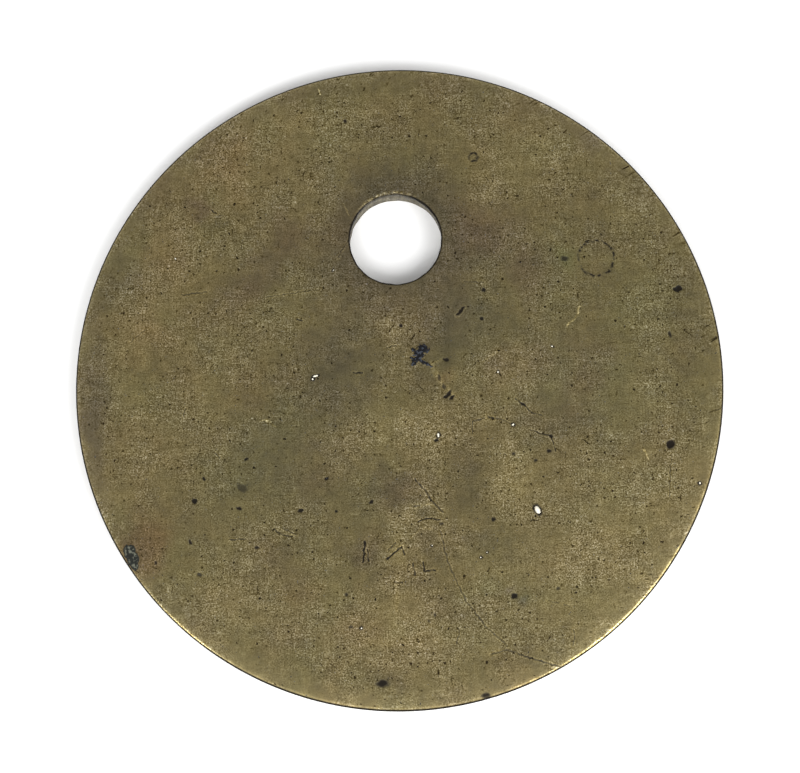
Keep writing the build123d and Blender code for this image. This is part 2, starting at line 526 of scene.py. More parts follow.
def select_in_edit_mode(kind, wanted):
    """Selects the vertices or the edges of the mesh being edited whose places are all wanted."""
    disc = bpy.context.object
    bpy.ops.mesh.select_mode(type="EDGE" if kind == "edges" else "VERT")
    bpy.ops.mesh.select_all(action="DESELECT")
    bpy.ops.object.mode_set(mode="OBJECT")
    mesh = disc.data
    chosen = [wanted(disc.location + vertex.co) for vertex in mesh.vertices]
    if kind == "edges":
        for edge in mesh.edges:
            edge.select = all(chosen[v] for v in edge.vertices)
    mesh.vertices.foreach_set("select", chosen)
    bpy.ops.object.mode_set(mode="EDIT")


def vertex_places(mesh):
    """Vertex places in millimetres, one row each."""
    places = np.empty(len(mesh.vertices) * 3)
    mesh.vertices.foreach_get("co", places)
    return places.reshape(-1, 3) / MM


def line_distance(places, points):
    """Distance in millimetres from each place to a line of points, on the face's plane."""
    nearest = np.full(len(places), np.inf)
    for start, end in zip(points, points[1:]):
        start, along = np.array(start), np.subtract(end, start)
        away = places[:, :2] - start
        share = np.clip(away @ along / (along @ along), 0, 1)
        nearest = np.minimum(nearest, np.hypot(*(away - share[:, None] * along).T))
    return nearest


def patch_distance(places, x, y, half_width, half_height, turn):
    """Distance from a patch's middle, as a share of its half width and half height."""
    turn = radians(turn)
    right = places[:, 0] - x
    up = places[:, 1] - y
    across = (right * cos(turn) + up * sin(turn)) / half_width
    along = (up * cos(turn) - right * sin(turn)) / half_height
    return np.hypot(across, along)


def refine_near_marks(disc, reach, finest):
    """Subdivides the face wherever a mark needs finer geometry than it has."""
    mesh = disc.data
    count = len(mesh.polygons)
    middles = np.empty(count * 3)
    areas = np.empty(count)
    mesh.polygons.foreach_get("center", middles)
    mesh.polygons.foreach_get("area", areas)
    middles = middles.reshape(-1, 3) / MM
    near = np.zeros(count, dtype=bool)
    for points, width, depth, tone in SCRATCHES:
        near |= line_distance(middles, points) < width / 2 + reach
    for x, y, half_width, half_height, *_ in PITS + GRIT + TAR_LOBES + SLAG_LOBES:
        near |= np.hypot(middles[:, 0] - x, middles[:, 1] - y) < max(half_width, half_height) + reach
    for x, y, radius, width, tone in RING_MARKS:
        near |= np.abs(np.hypot(middles[:, 0] - x, middles[:, 1] - y) - radius) < width / 2 + reach
    near &= middles[:, 2] > FACE_Z / MM / 2
    near &= np.sqrt(areas) / MM > finest

    bpy.ops.object.mode_set(mode="EDIT")
    bpy.ops.mesh.select_mode(type="FACE")
    bpy.ops.mesh.select_all(action="DESELECT")
    bpy.ops.object.mode_set(mode="OBJECT")
    mesh.polygons.foreach_set("select", near)
    bpy.ops.object.mode_set(mode="EDIT")
    bpy.ops.mesh.subdivide(number_cuts=1)
    bpy.ops.object.mode_set(mode="OBJECT")


def paint(mesh, name, values):
    """Stores one number per vertex for the material to read."""
    attribute = mesh.attributes.new(name, "FLOAT", "POINT")
    attribute.data.foreach_set("value", values.astype(np.float32))


def press(disc, name, heights):
    """Moves the face down and up by heights, in millimetres, with Displace modifiers."""
    for way, sign in (("down", -1), ("up", 1)):
        moves = np.clip(heights * sign, 0, None)
        most = moves.max()
        if most > 0:
            displace(disc, f"{name}_{way}", moves / most, sign * most * MM)


def displace(disc, name, weights, strength, lump=None, direction="Z"):
    """Applies a Displace modifier, weighted by one number per vertex and, where given, by lumps of a size."""
    group = disc.vertex_groups.new(name=name)
    for index in np.nonzero(weights > 0.01)[0]:
        group.add([int(index)], float(weights[index]), "REPLACE")
    shape = disc.modifiers.new(name, "DISPLACE")
    shape.direction = direction
    shape.strength = strength
    shape.vertex_group = name
    shape.mid_level = 0.0
    if lump:
        texture = bpy.data.textures.new(name, "CLOUDS")
        texture.noise_scale = lump
        texture.noise_depth = 1
        shape.texture = texture
        shape.texture_coords = "LOCAL"
        shape.mid_level = 0.5
    bpy.ops.object.modifier_apply(modifier=shape.name)
    disc.vertex_groups.remove(disc.vertex_groups[name])


def wavering(places, size, reach, seed):
    """Places pushed about on the plane by smooth noise, so that painted outlines aren't perfect."""
    moved = places.copy()
    for row in moved:
        push = noise.noise_vector(Vector((row[0] / size, row[1] / size, seed)))
        row[0] += push.x * reach
        row[1] += push.y * reach
    return moved


def crumbling(places, size, seed):
    """Smooth noise for each place, from about -0.5 to 0.5."""
    return np.array([0.6 * noise.noise(Vector((x / size, y / size, seed))) for x, y, z in places])


def painted_patches(places, patches):
    """Sum of soft patches, each a bell around its middle."""
    total = np.zeros(len(places))
    for x, y, half_width, half_height, turn, strength in patches:
        distance = patch_distance(places, x, y, half_width, half_height, turn)
        total += strength * np.exp(-(distance**2) * 1.1)
    return total


def lobes(places, shapes):
    """0 outside and 1 well inside a group of merged lobes."""
    inside = np.zeros(len(places))
    for x, y, half_width, half_height, turn in shapes:
        distance = patch_distance(places, x, y, half_width, half_height, turn)
        inside = np.maximum(inside, np.clip((1.35 - distance) / 0.7, 0, 1))
    return inside


def bell(distance, middle, width):
    """1 at the middle distance, and next to nothing beyond twice the width from it."""
    return np.exp(-(((distance - middle) / width) ** 2))


def from_hole(places):
    """Distance in millimetres outwards from the hole's wall."""
    return np.hypot(places[:, 0], places[:, 1] - HOLE_Y / MM) - HOLE_RADIUS / MM


def from_rim(places):
    """Distance in millimetres inwards from the rim's wall."""
    return DISC_RADIUS / MM - np.hypot(places[:, 0], places[:, 1])


def marks(tight, crumbs):
    """Tone, and height in millimetres, of the scratches, pits and rings, and the tone of the darker ring
    round each crumb of grit.
    """
    tone = np.zeros(len(tight))
    heights = np.zeros(len(tight))
    for points, width, depth, mark_tone in SCRATCHES:
        across = line_distance(tight, points) / (width / 2)
        profile = bell(across, 0, 1) * np.clip(0.85 + 1.8 * crumbs, 0.35, 1)
        # The raised lips beside a dug scratch are also painted lighter, as a painted highlight
        lips_and_highlights = np.exp(-((across - 2.0) ** 2) * 2) * (depth > 0)
        tone += SCRATCH_STRENGTH * mark_tone * profile + LIP_HIGHLIGHT_TONE * lips_and_highlights
        heights -= depth * (profile - LIP_HEIGHT * lips_and_highlights)
    for x, y, half_width, half_height, turn, depth, mark_tone in PITS:
        distance = patch_distance(tight, x, y, half_width, half_height, turn)
        profile = np.clip((1.5 - distance) / 0.7, 0, 1)
        tone += mark_tone * profile
        heights -= depth * profile
    # Each crumb gets a darker ring round it
    for x, y, half_width, half_height, turn in GRIT:
        distance = patch_distance(
            tight, x, y, half_width + GRIT_RING_MARGIN, half_height + GRIT_RING_MARGIN, turn
        )
        tone += GRIT_RING_TONE * np.clip((1.5 - distance) / 0.4, 0, 1)
    for x, y, radius, width, mark_tone in RING_MARKS:
        across = (np.hypot(tight[:, 0] - x, tight[:, 1] - y) - radius) / (width / 2)
        profile = bell(across, 0, 1) * np.clip(0.5 + 3 * crumbs, 0.05, 1)
        tone += mark_tone * profile
        heights -= RING_DEPTH * profile
    return tone, heights


def painted_edge_light(places, rim_angle, crumbs):
    """Tone of the hole's mouth, with a painted highlight on its upper left and painted shade elsewhere, and
    of the rim, with painted highlights and a painted dark edge.
    """
    beside_hole = from_hole(places)
    hole_angle = np.degrees(np.arctan2(places[:, 1] - HOLE_Y / MM, places[:, 0]))
    # Painted highlight on the mouth's rounding on its upper left, where the light falls, and painted shade
    # round the rest of the mouth
    lit_side_of_lip = np.clip(1.6 - np.abs(hole_angle - 100) / 35, 0, 1)
    lip_shine = 60 * bell(beside_hole, 0.13, 0.08) * lit_side_of_lip * np.clip(0.5 + 3 * crumbs, 0, 1)
    lip_painted_shade = 90 * bell(beside_hole, 0.02, 0.05) * np.clip(1 - 0.8 * lit_side_of_lip, 0, 1)

    beside_rim = from_rim(places)
    # Painted highlights on the rim's rounding at 309 and 226 degrees, where the lights reflect, a weaker
    # painted highlight band all round, and elsewhere a painted dark line at the very edge for the dark
    # reflection of the steep rounding
    highlight_spots = bell(rim_angle, 309, 20) + bell(rim_angle, 226, 10)
    rim_shine = 12 * bell(beside_rim, 0.20, 0.13) + 45 * highlight_spots * bell(beside_rim, 0.09, 0.06)
    rim_painted_shade = 75 * (1 - highlight_spots) * bell(beside_rim, 0, 0.075)
    return lip_shine - lip_painted_shade + rim_shine - rim_painted_shade


def wear_and_light_on_face(disc):
    """Presses the marks and deposits into the face, and paints them, the tarnish and the painted highlights
    and shade at the edges for the material.
    """
    mesh = disc.data
    places = vertex_places(mesh)
    on_face = np.clip((places[:, 2] - FACE_Z / MM + 0.5) / 0.2, 0, 1)
    loose = wavering(wavering(places, 2.2, 0.7, 3.0), 0.7, 0.3, 8.0)
    tight = wavering(places, 0.22, 0.08, 5.0)
    crumbs = crumbling(places, 0.16, 2.0)

    rim_angle = np.degrees(np.arctan2(places[:, 1], places[:, 0])) % 360
    # Painted light: the band along the far side of the rim is painted lighter and greyer
    far_rim_painted_light = np.clip(np.cos(np.radians(rim_angle - 125)) + 0.5, 0, 1) * bell(from_rim(places), 0, 1.3)
    round_hole = bell(np.clip(from_hole(loose), 0, None), 0, 1.9)
    mark_tone, heights = marks(tight, crumbs)
    tone = TARNISH_STRENGTH * painted_patches(loose, TARNISH) - 20 * round_hole + 6 * far_rim_painted_light
    tone += mark_tone + painted_edge_light(places, rim_angle, crumbs)
    greyish = painted_patches(loose, GREYISH) + 0.5 * round_hole + 0.5 * far_rim_painted_light

    tar = lobes(tight, TAR_LOBES)
    slag = lobes(tight, SLAG_LOBES)
    heights += (TAR_HEIGHT * tar + SLAG_HEIGHT * slag) * (1 + 2 * crumbs)

    # The wear tone also holds the painted highlights and shade at the rim and the hole's mouth, and the
    # painted lighter band on the far side of the rim
    paint(mesh, "wear_and_light_tone", tone * on_face / TONE_STEPS)
    paint(mesh, "reddish", painted_patches(loose, REDDISH) * on_face)
    paint(mesh, "greenish", painted_patches(loose, GREENISH) * on_face)
    paint(mesh, "greyish", greyish * on_face)
    paint(mesh, "tar", tar * on_face)
    paint(mesh, "slag", slag * on_face)

    in_hole = np.clip((0.25 - from_hole(places)) / 0.15, 0, 1)
    inside_rim = np.clip((from_rim(places) - 0.5) / 2, 0, 1)
    press(disc, "marks", heights * on_face)
    displace(disc, "ragged_hole", in_hole, 0.07 * MM, 0.6 * MM, "NORMAL")
    displace(disc, "waves", inside_rim * on_face * (1 - in_hole), 0.03 * MM, 2.5 * MM)


def stuck_grit():
    """The pale crumbs on the face, as one mesh of small uneven lumps."""
    deselect_all()
    lumps = []
    for x, y, half_width, half_height, turn in GRIT:
        bpy.ops.mesh.primitive_ico_sphere_add(
            subdivisions=2, radius=1.0, location=(x * MM, y * MM, FACE_Z), rotation=(0, 0, radians(turn))
        )
        lump = bpy.context.object
        lump.scale = (half_width * MM, half_height * MM, min(half_width, half_height) * 0.8 * MM)
        lumps.append(lump)
    for lump in lumps:
        lump.select_set(True)
    bpy.ops.object.join()
    grit = bpy.context.object
    bpy.ops.object.transform_apply(location=True, rotation=True, scale=True)
    everywhere = np.ones(len(grit.data.vertices))
    displace(grit, "lumpy", everywhere, 0.06 * MM, 0.1 * MM, "NORMAL")
    return grit


# ---------------------------------------------------------------- material helpers

MEAN_TONE = 0.53
BRIGHTEST_FLECK = 0.34


class Graph:
    """Adds nodes to a node tree and joins them."""

    def __init__(self, tree):
        self.tree = tree

    def add(self, kind, inputs=None, **settings):
        """A new node, with its settings, and with inputs given as values or as other nodes' outputs."""
        new = self.tree.nodes.new(kind)
        for name, value in settings.items():
            setattr(new, name, value)
        for name, value in (inputs or {}).items():
            self.give(new.inputs[name], value)
        return new

    def give(self, socket, value):
        if isinstance(value, bpy.types.NodeSocket):
            self.tree.links.new(value, socket)
        else:
            socket.default_value = value

    def maths(self, operation, first, second=None, clamp=False):
        new = self.add("ShaderNodeMath", {0: first}, operation=operation, use_clamp=clamp)
        if second is not None:
            self.give(new.inputs[1], second)
        return new.outputs[0]

    def total(self, terms):
        """Sum of numbers, outputs, and pairs that are multiplied first."""
        parts = [self.maths("MULTIPLY", *term) if isinstance(term, tuple) else term for term in terms]
        result = parts[0]
        for part in parts[1:]:
            result = self.maths("ADD", result, part)
        return result

    def distance(self, across, along):
        """Length of a flat step."""
        return self.maths("SQRT", self.total([(across, across), (along, along)]))

    def noise(self, vector, scale, detail=0.0, roughness=0.5):
        """Noise about zero."""
        new = self.add(
            "ShaderNodeTexNoise", {"Vector": vector, "Scale": scale, "Detail": detail, "Roughness": roughness}
        )
        return self.maths("SUBTRACT", new.outputs["Fac"], 0.5)

    def between(self, value, low, high):
        """0 below low, 1 above high, smooth between them; high may be the lower one."""
        new = self.add(
            "ShaderNodeMapRange", {"Value": value, "From Min": low, "From Max": high},
            interpolation_type="SMOOTHSTEP",
        )
        return new.outputs["Result"]

    def mix(self, factor, first, second, blend="MIX"):
        new = self.add("ShaderNodeMix", data_type="RGBA", blend_type=blend)
        self.give(new.inputs["Factor"], factor)
        colours = [socket for socket in new.inputs if socket.type == "RGBA"]
        self.give(colours[0], first)
        self.give(colours[1], second)
        return next(socket for socket in new.outputs if socket.type == "RGBA")

    def painted(self, name):
        return self.add("ShaderNodeAttribute", attribute_name=name).outputs["Fac"]


def new_group(name, inputs, outputs):
    """An empty node group with named sockets: returns its graph, its inputs and its output node."""
    tree = bpy.data.node_groups.new(name, "ShaderNodeTree")
    for socket, kind, default in inputs:
        made = tree.interface.new_socket(socket, in_out="INPUT", socket_type=kind)
        if default is not None:
            made.default_value = default
    for socket, kind in outputs:
        tree.interface.new_socket(socket, in_out="OUTPUT", socket_type=kind)
    graph = Graph(tree)
    return graph, graph.add("NodeGroupInput").outputs, graph.add("NodeGroupOutput").inputs


def use_group(graph, group, inputs=None):
    """Places a node group in a graph and returns its outputs."""
    new = graph.add("ShaderNodeGroup", node_tree=group)
    for name, value in (inputs or {}).items():
        graph.give(new.inputs[name], value)
    return new.outputs


def slanted(graph, vector):
    """Flat coordinates that differ between the face and the underside and run slantwise down the walls."""
    axes = graph.add("ShaderNodeSeparateXYZ", {"Vector": vector}).outputs
    across = graph.total([axes["X"], (axes["Z"], 5.3)])
    along = graph.total([axes["Y"], (axes["Z"], 3.1)])
    return graph.add("ShaderNodeCombineXYZ", {"X": across, "Y": along}).outputs[0]


def speckle_group():
    """Separate marks of uneven size and shape: dots, or dashes where the spacing is stretched along."""
    graph, given, out = new_group(
        "Speckle",
        [
            ("Vector", "NodeSocketVector", None),
            ("Spacing", "NodeSocketFloat", 1.0 * MM),
            ("Size", "NodeSocketFloat", 0.06 * MM),
            ("Share", "NodeSocketFloat", 0.5),
            ("Turn", "NodeSocketFloat", 0.0),
            ("Stretch", "NodeSocketFloat", 1.0),
        ],
        [("Mask", "NodeSocketFloat")],
    )
    flat = slanted(graph, given["Vector"])
    ragged = graph.add("ShaderNodeTexNoise", {"Vector": flat, "Scale": 9000.0, "Detail": 0.0})
    push = graph.add(
        "ShaderNodeVectorMath", {0: ragged.outputs["Color"], 1: (0.5, 0.5, 0.5)}, operation="SUBTRACT"
    )
    push = graph.add("ShaderNodeVectorMath", {0: push.outputs[0], "Scale": 0.14 * MM}, operation="SCALE")
    place = graph.add("ShaderNodeVectorMath", {0: flat, 1: push.outputs[0]}, operation="ADD")
    turned = graph.add(
        "ShaderNodeVectorRotate", {"Vector": place.outputs[0], "Angle": given["Turn"]}, rotation_type="Z_AXIS"
    )
    shorter = graph.maths("DIVIDE", 1.0, given["Stretch"])
    squeeze = graph.add("ShaderNodeCombineXYZ", {"X": 1.0, "Y": shorter, "Z": 0.0})
    squeezed = graph.add(
        "ShaderNodeVectorMath", {0: turned.outputs[0], 1: squeeze.outputs[0]}, operation="MULTIPLY"
    )
    cells = graph.add(
        "ShaderNodeTexVoronoi",
        {"Vector": squeezed.outputs[0], "Scale": graph.maths("DIVIDE", 1.0, given["Spacing"])},
        voronoi_dimensions="2D",
    )
    chance = graph.add("ShaderNodeSeparateColor", {"Color": cells.outputs["Color"]})
    spread = graph.total([(chance.outputs["Red"], 0.8), 0.45])
    size = graph.maths("MULTIPLY", graph.maths("DIVIDE", given["Size"], given["Spacing"]), spread)
    dot = graph.between(cells.outputs["Distance"], size, graph.maths("MULTIPLY", size, 0.4))
    present = graph.maths("LESS_THAN", chance.outputs["Green"], given["Share"])
    strength = graph.total([(chance.outputs["Blue"], 0.6), 0.4])
    graph.give(out["Mask"], graph.maths("MULTIPLY", graph.maths("MULTIPLY", dot, present), strength))
    return graph.tree


def grain_group():
    """Fine unevenness of tarnished metal at two sizes, about zero."""
    graph, given, out = new_group(
        "Tarnish Grain",
        [
            ("Vector", "NodeSocketVector", None),
            ("Fine", "NodeSocketFloat", 0.5),
            ("Small", "NodeSocketFloat", 0.5),
        ],
        [("Tone", "NodeSocketFloat"), ("Height", "NodeSocketFloat")],
    )
    fine = graph.noise(given["Vector"], 12500.0)
    small = graph.noise(given["Vector"], 5200.0, 1.0, 0.7)
    graph.give(out["Tone"], graph.total([(fine, given["Fine"]), (small, given["Small"])]))
    graph.give(out["Height"], graph.total([fine, small]))
    return graph.tree


def mottle_group():
    """Clouds of thicker and thinner tarnish at two sizes, about zero."""
    graph, given, out = new_group(
        "Tarnish Clouds",
        [
            ("Vector", "NodeSocketVector", None),
            ("Medium", "NodeSocketFloat", 0.2),
            ("Broad", "NodeSocketFloat", 0.2),
        ],
        [("Tone", "NodeSocketFloat")],
    )
    medium = graph.noise(given["Vector"], 1500.0, 1.0, 0.5)
    broad = graph.noise(given["Vector"], 230.0, 2.5, 0.5)
    graph.give(out["Tone"], graph.total([(medium, given["Medium"]), (broad, given["Broad"])]))
    return graph.tree


def streak_group():
    """Fine parallel rubbing marks."""
    graph, given, out = new_group(
        "Rubbing Streaks",
        [
            ("Vector", "NodeSocketVector", None),
            ("Turn", "NodeSocketFloat", 0.0),
            ("Across", "NodeSocketFloat", 9000.0),
            ("Along", "NodeSocketFloat", 500.0),
        ],
        [("Tone", "NodeSocketFloat")],
    )
    turned = graph.add(
        "ShaderNodeVectorRotate", {"Vector": given["Vector"], "Angle": given["Turn"]}, rotation_type="Z_AXIS"
    )
    stretch = graph.add(
        "ShaderNodeCombineXYZ", {"X": given["Across"], "Y": given["Along"], "Z": given["Along"]}
    )
    stretched = graph.add(
        "ShaderNodeVectorMath", {0: turned.outputs[0], 1: stretch.outputs[0]}, operation="MULTIPLY"
    )
    graph.give(out["Tone"], graph.noise(stretched.outputs[0], 1.0, 1.0))
    return graph.tree


def new_material(name):
    """A material with nothing but its output node."""
    material = bpy.data.materials.new(name)
    material.use_nodes = True
    tree = material.node_tree
    tree.nodes.clear()
    return material, Graph(tree)


def opaque(rgb):
    return (rgb[0], rgb[1], rgb[2], 1.0)


def tarnish_colour(graph, tone, colours):
    """The patina's colour for a tone from 0, the darkest grime, to 1, bare brass."""
    ramp = graph.add("ShaderNodeValToRGB", {"Fac": tone})
    elements = ramp.color_ramp.elements
    elements.remove(elements[1])
    elements[0].position = 0.107
    elements[0].color = opaque(colours.grime)
    for position, rgb in (
        (0.364, colours.dark), (0.536, colours.middle), (0.736, colours.light), (0.93, colours.rubbed),
    ):
        elements.new(position).color = opaque(rgb)
    return ramp.outputs["Color"]


def tinted(graph, brass, place, worn):
    """The patina turned redder, greener, greyer or yellower in places."""
    cloud = graph.maths("MULTIPLY", graph.noise(place, 300.0, 2.0), 1.2)
    veil = graph.total([(graph.noise(place, 420.0, 2.0), 0.8), (worn, -3.2)])
    greyish = graph.painted("greyish")
    warm = graph.maths("ADD", graph.painted("reddish"), cloud, clamp=True)
    cool = graph.maths("SUBTRACT", graph.painted("greenish"), cloud, clamp=True)
    grey = graph.maths("ADD", greyish, veil, clamp=True)
    yellow = graph.maths("SUBTRACT", graph.maths("MULTIPLY", veil, -1.0), greyish, clamp=True)
    for amount, tint in (
        (warm, (1.0, 0.86, 0.86)),
        (cool, (0.88, 1.0, 0.94)),
        (grey, (0.94, 0.94, 1.22)),
        (yellow, (1.04, 1.0, 0.80)),
    ):
        brass = graph.mix(amount, brass, opaque(tint), "MULTIPLY")
    return brass


def shaded(graph, brass, fine_tone):
    """Fine light and dark: thicker dirt is browner and thinner is paler, so blue changes most."""
    lightness = graph.add("ShaderNodeCombineXYZ", {
        "X": graph.maths("POWER", 13.9, fine_tone),
        "Y": graph.maths("POWER", 18.0, fine_tone),
        "Z": graph.maths("POWER", 59.0, fine_tone),
    }).outputs[0]
    return graph.add("ShaderNodeVectorMath", {0: brass, 1: lightness}, operation="MULTIPLY").outputs[0]


def lines_down_walls(graph, place, axes, wall):
    """Fine upright lines that the punch dragged down the hole's wall and, more faintly, the rim's."""
    from_axis = graph.distance(axes["X"], graph.maths("SUBTRACT", axes["Y"], HOLE_Y))
    in_hole = graph.between(from_axis, HOLE_RADIUS + 0.12 * MM, HOLE_RADIUS + 0.04 * MM)
    squash = graph.add("ShaderNodeVectorMath", {0: place, 1: (7000.0, 7000.0, 500.0)}, operation="MULTIPLY")
    dragged_walls = graph.maths("MAXIMUM", in_hole, graph.maths("MULTIPLY", wall, 0.35))
    return graph.maths("MULTIPLY", dragged_walls, graph.noise(squash.outputs[0], 1.0, 1.0))


def with_deposits(graph, brass, place, ragged, colours):
    """The brass under its tar and slag: returns the colour and the masks of both."""
    tar = graph.between(graph.maths("ADD", graph.painted("tar"), ragged), 0.42, 0.55)
    # Painted sheen: blue-grey highlights painted on the tar in noisy specks
    sheen = graph.between(graph.noise(place, 6500.0, 1.0), 0.02, 0.14)
    pitch = graph.mix(sheen, opaque(colours.tar), opaque(colours.tar_sheen))
    slag_level = graph.total([graph.painted("slag"), (ragged, 0.3)])
    slag = graph.between(slag_level, 0.40, 0.50)
    middle_of_slag = graph.between(slag_level, 0.6, 0.9)
    patchy = graph.between(graph.noise(place, 7500.0, 1.0), -0.06, 0.14)
    crusty = graph.maths("MULTIPLY", middle_of_slag, patchy)
    crust = graph.mix(crusty, opaque(colours.slag), opaque(colours.slag_pale))
    return graph.mix(slag, graph.mix(tar, brass, pitch), crust), tar, slag


def worn_brass(colours):
    """Olive-brown tarnished brass with grain, pores, flecks, tar, and rubbed edges with painted highlights
    and painted shade.
    """
    material, graph = new_material("worn_brass_patina")
    speckle, grain, streaks = speckle_group(), grain_group(), streak_group()
    place = graph.add("ShaderNodeTexCoord").outputs["Object"]
    axes = graph.add("ShaderNodeSeparateXYZ", {"Vector": place}).outputs
    radius = graph.distance(axes["X"], axes["Y"])

    near_rim = graph.between(radius, DISC_RADIUS - 1.9 * MM, DISC_RADIUS - 0.5 * MM)
    # Painted highlight: a lighter band just inside the rim, which also makes it more metallic. Painted shade:
    # the outermost rounding darkened for its dark reflection, and made duller and less metallic there as
    # grime.
    rim_wear_and_highlight = graph.between(radius, DISC_RADIUS - 0.24 * MM, DISC_RADIUS - 0.14 * MM)
    outermost = graph.between(radius, DISC_RADIUS - 0.12 * MM, DISC_RADIUS - 0.05 * MM)
    shoulder = graph.between(axes["Z"], FACE_Z - 0.38 * MM, FACE_Z - 0.26 * MM)
    rim_grime_and_shade = graph.maths("MULTIPLY", outermost, shoulder)
    wall = graph.maths("SUBTRACT", outermost, rim_grime_and_shade)

    clouds = use_group(graph, mottle_group(), {"Vector": place, "Medium": 0.24, "Broad": 0.20})["Tone"]
    # The wear tone holds the tarnish and marks together with the painted highlights and shade at the edges
    worn = graph.maths("ADD", graph.painted("wear_and_light_tone"), clouds)
    tone = graph.total([MEAN_TONE, worn, (rim_wear_and_highlight, 0.13), (rim_grime_and_shade, -0.7), (wall, -0.06)])
    brass = tinted(graph, tarnish_colour(graph, tone, colours), place, worn)

    # Fine grain, pores, flecks and rubbing, which show most where the tarnish is thin
    uneven = use_group(graph, grain, {"Vector": place, "Fine": 0.74, "Small": 0.30})

    def specks(spacing, size, share, turn=0.0, stretch=1.0):
        return use_group(graph, speckle, {
            "Vector": place, "Spacing": spacing * MM, "Size": size * MM, "Share": share,
            "Turn": radians(turn), "Stretch": stretch,
        })["Mask"]

    holes = specks(1.30, 0.078, 0.42)
    pores = specks(0.46, 0.065, 0.6)
    flecks = specks(0.7, 0.065, 0.5)
    upright = use_group(graph, streaks, {"Vector": place, "Turn": radians(2)})["Tone"]
    level = use_group(graph, streaks, {"Vector": place, "Turn": radians(89)})["Tone"]
    rougher = graph.between(graph.noise(place, 420.0, 1.0), -0.16, 0.12)
    calmer = graph.maths("MAXIMUM", 0.3, graph.total([0.55, (rougher, 0.75), (worn, 1.8), (near_rim, -0.3)]))
    grainy = graph.total([
        uneven["Tone"],
        (pores, -0.80),
        (flecks, 0.32),
        (specks(0.9, 0.045, 0.5, 4, 7.0), -0.55),
        (specks(1.1, 0.045, 0.5, 86, 7.0), -0.55),
        (specks(1.4, 0.045, 0.5, 38, 9.0), -0.65),
        (specks(1.3, 0.045, 0.5, 131, 8.0), -0.55),
        (upright, 0.20),
        (level, 0.20),
    ])
    fine_tone = graph.total([(calmer, grainy), (holes, -1.05)])
    fine_tone = graph.maths("MINIMUM", fine_tone, BRIGHTEST_FLECK)
    drag_lines = lines_down_walls(graph, place, axes, wall)
    brass = shaded(graph, brass, graph.maths("ADD", fine_tone, drag_lines))

    ragged = graph.maths("MULTIPLY", uneven["Height"], 1.2)
    surface, tar, slag = with_deposits(graph, brass, place, ragged, colours)

    height = graph.total([uneven["Height"], (pores, -0.6), (holes, -1.2), (upright, 0.25), (drag_lines, 3.0)])
    bump = graph.add("ShaderNodeBump", {"Height": height, "Strength": 0.5, "Distance": 0.012 * MM})
    dirt = graph.maths("MAXIMUM", graph.maths("MAXIMUM", tar, slag), rim_grime_and_shade)
    darker = graph.maths("SUBTRACT", MEAN_TONE, tone)
    crusted = graph.maths("MAXIMUM", slag, rim_grime_and_shade)
    roughness = graph.total([0.46, (uneven["Height"], 0.2), (darker, 0.35), (crusted, 0.3)])
    bareness = graph.total([(graph.between(tone, 0.6, 0.95), 0.65), 0.35])
    metal = graph.maths("MULTIPLY", bareness, graph.maths("SUBTRACT", 1.0, dirt))
    shader = graph.add("ShaderNodeBsdfPrincipled", {
        "Base Color": surface, "Roughness": roughness, "Metallic": metal, "Normal": bump.outputs["Normal"],
        "Specular IOR Level": 0.12,
    })
    graph.add("ShaderNodeOutputMaterial", {"Surface": shader.outputs["BSDF"]})
    return material


def pale_grit(colours):
    """Dull pale grit with dirt in its hollows."""
    material, graph = new_material("pale_grit")
    place = graph.add("ShaderNodeTexCoord").outputs["Object"]
    dirty = graph.between(graph.noise(place, 7000.0, 1.0), 0.02, 0.2)
    crumb = graph.mix(dirty, opaque(colours.grit), (0.20, 0.17, 0.10, 1.0))
    shader = graph.add("ShaderNodeBsdfPrincipled", {"Base Color": crumb, "Roughness": 0.5})
    graph.add("ShaderNodeOutputMaterial", {"Surface": shader.outputs["BSDF"]})
    return material


def plain_floor():
    """Pale matt board."""
    material, graph = new_material("pale_floor")
    place = graph.add("ShaderNodeTexCoord").outputs["Object"]
    tooth = graph.noise(place, 900.0, 2.0)
    bump = graph.add("ShaderNodeBump", {"Height": tooth, "Strength": 0.1, "Distance": 0.02 * MM})
    shader = graph.add("ShaderNodeBsdfPrincipled", {
        "Base Color": (0.74, 0.74, 0.74, 1.0), "Roughness": 0.85, "Normal": bump.outputs["Normal"],
    })
    graph.add("ShaderNodeOutputMaterial", {"Surface": shader.outputs["BSDF"]})
    return material


# ---------------------------------------------------------------- operators

LIGHT_REACH = 0.42


class TOKEN_OT_disc(bpy.types.Operator):
    """Make the worn brass disc"""

    bl_idname = "token.disc"
    bl_label = "Worn disc"

    def execute(self, context):
        disc = turned_blank(context.scene.token_sizes)
        disc.name = disc.data.name = "worn_disc"
        refine_near_marks(disc, 0.22, 0.10)
        refine_near_marks(disc, 0.10, 0.055)
        wear_and_light_on_face(disc)
        disc.data.materials.append(worn_brass(context.scene.token_colours))
        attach(disc, "root")
        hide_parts("token_disc")
        return {"FINISHED"}


class TOKEN_OT_grit(bpy.types.Operator):
    """Make the pale crumbs stuck to the face"""

    bl_idname = "token.grit"
    bl_label = "Stuck grit"

    def execute(self, context):
        grit = stuck_grit()
        grit.name = grit.data.name = "stuck_grit"
        grit.data.materials.append(pale_grit(context.scene.token_colours))
        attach(grit, "root")
        return {"FINISHED"}


